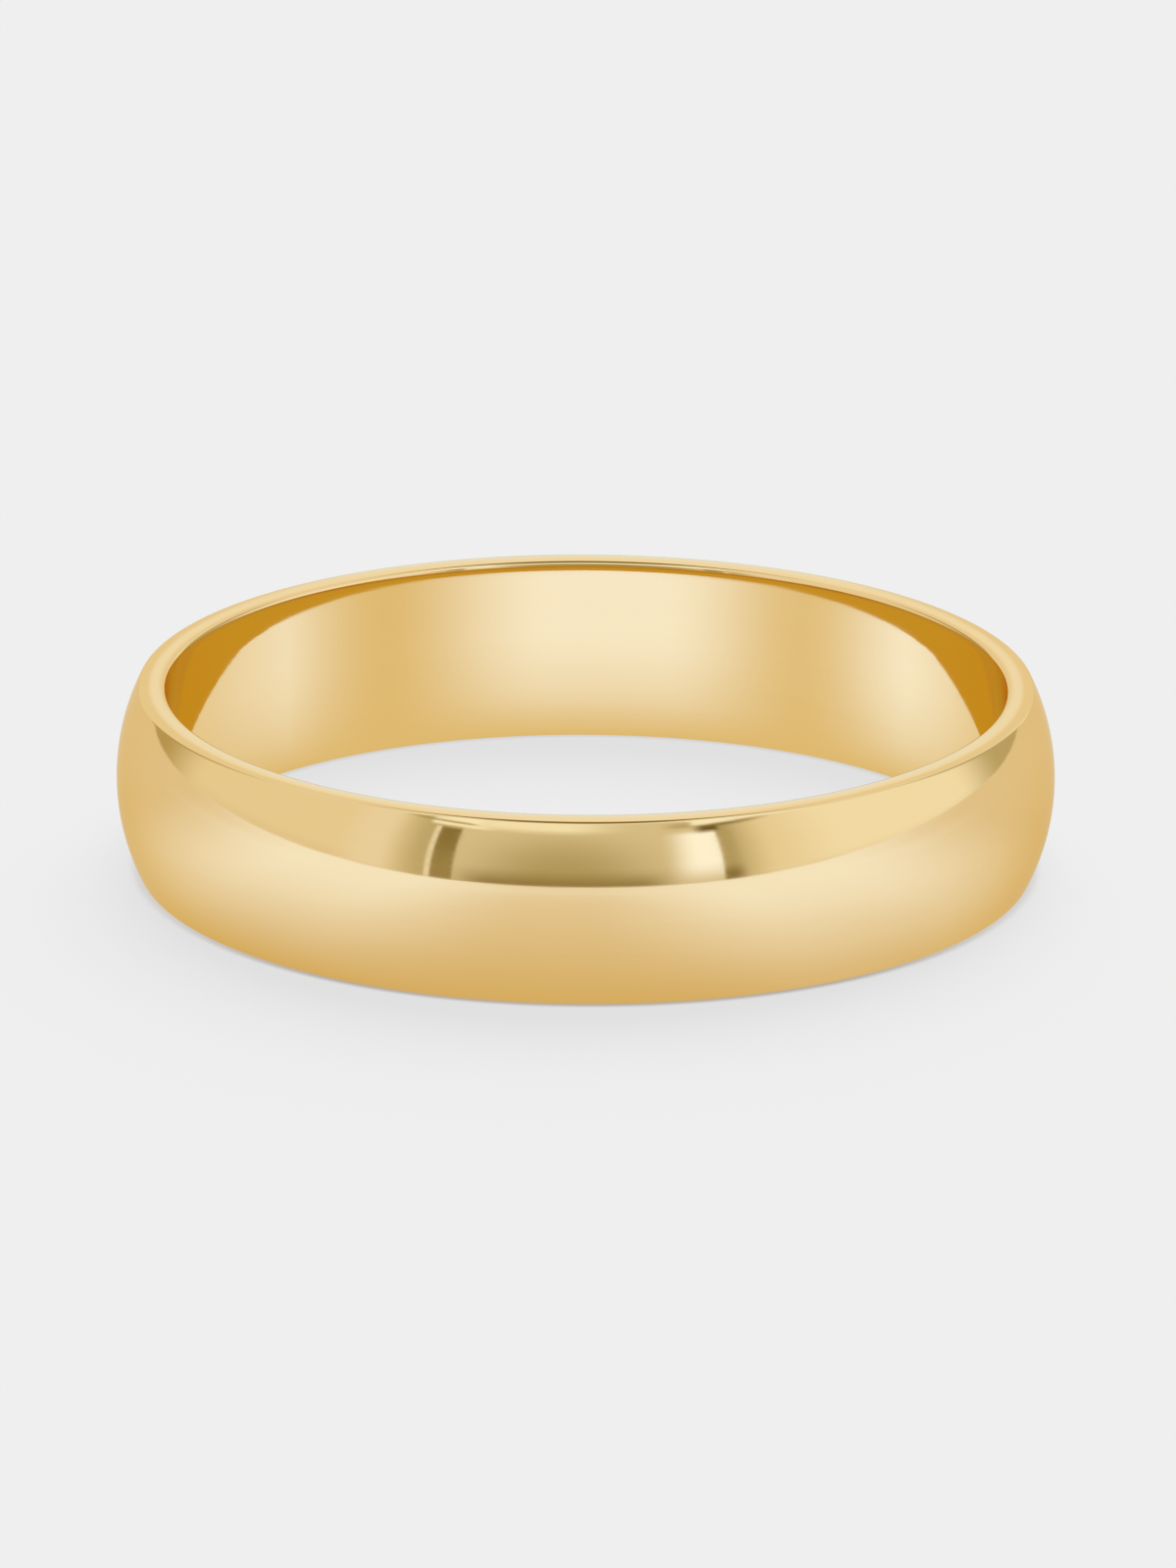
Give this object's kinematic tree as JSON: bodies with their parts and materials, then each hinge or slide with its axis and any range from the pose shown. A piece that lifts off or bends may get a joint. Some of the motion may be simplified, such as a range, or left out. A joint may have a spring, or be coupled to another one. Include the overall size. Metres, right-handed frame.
{
  "type": "wedding band",
  "caption": "Plain domed wedding band, worn on a finger: one seamless ring of polished yellow gold with a straight bore and eased edges.",
  "frame": {"origin": "on the finger axis, in the plane of the lower flat side that the band rests on", "axes": "+Z along the finger axis, up from the lower flat side; X and Y are alike, because the band is round"},
  "size_m": [0.02, 0.02, 0.004],
  "materials": {
    "yellow_gold": "polished"
  },
  "bodies": {
    "root": {"ring_band": "yellow_gold"}
  },
  "joints": []
}
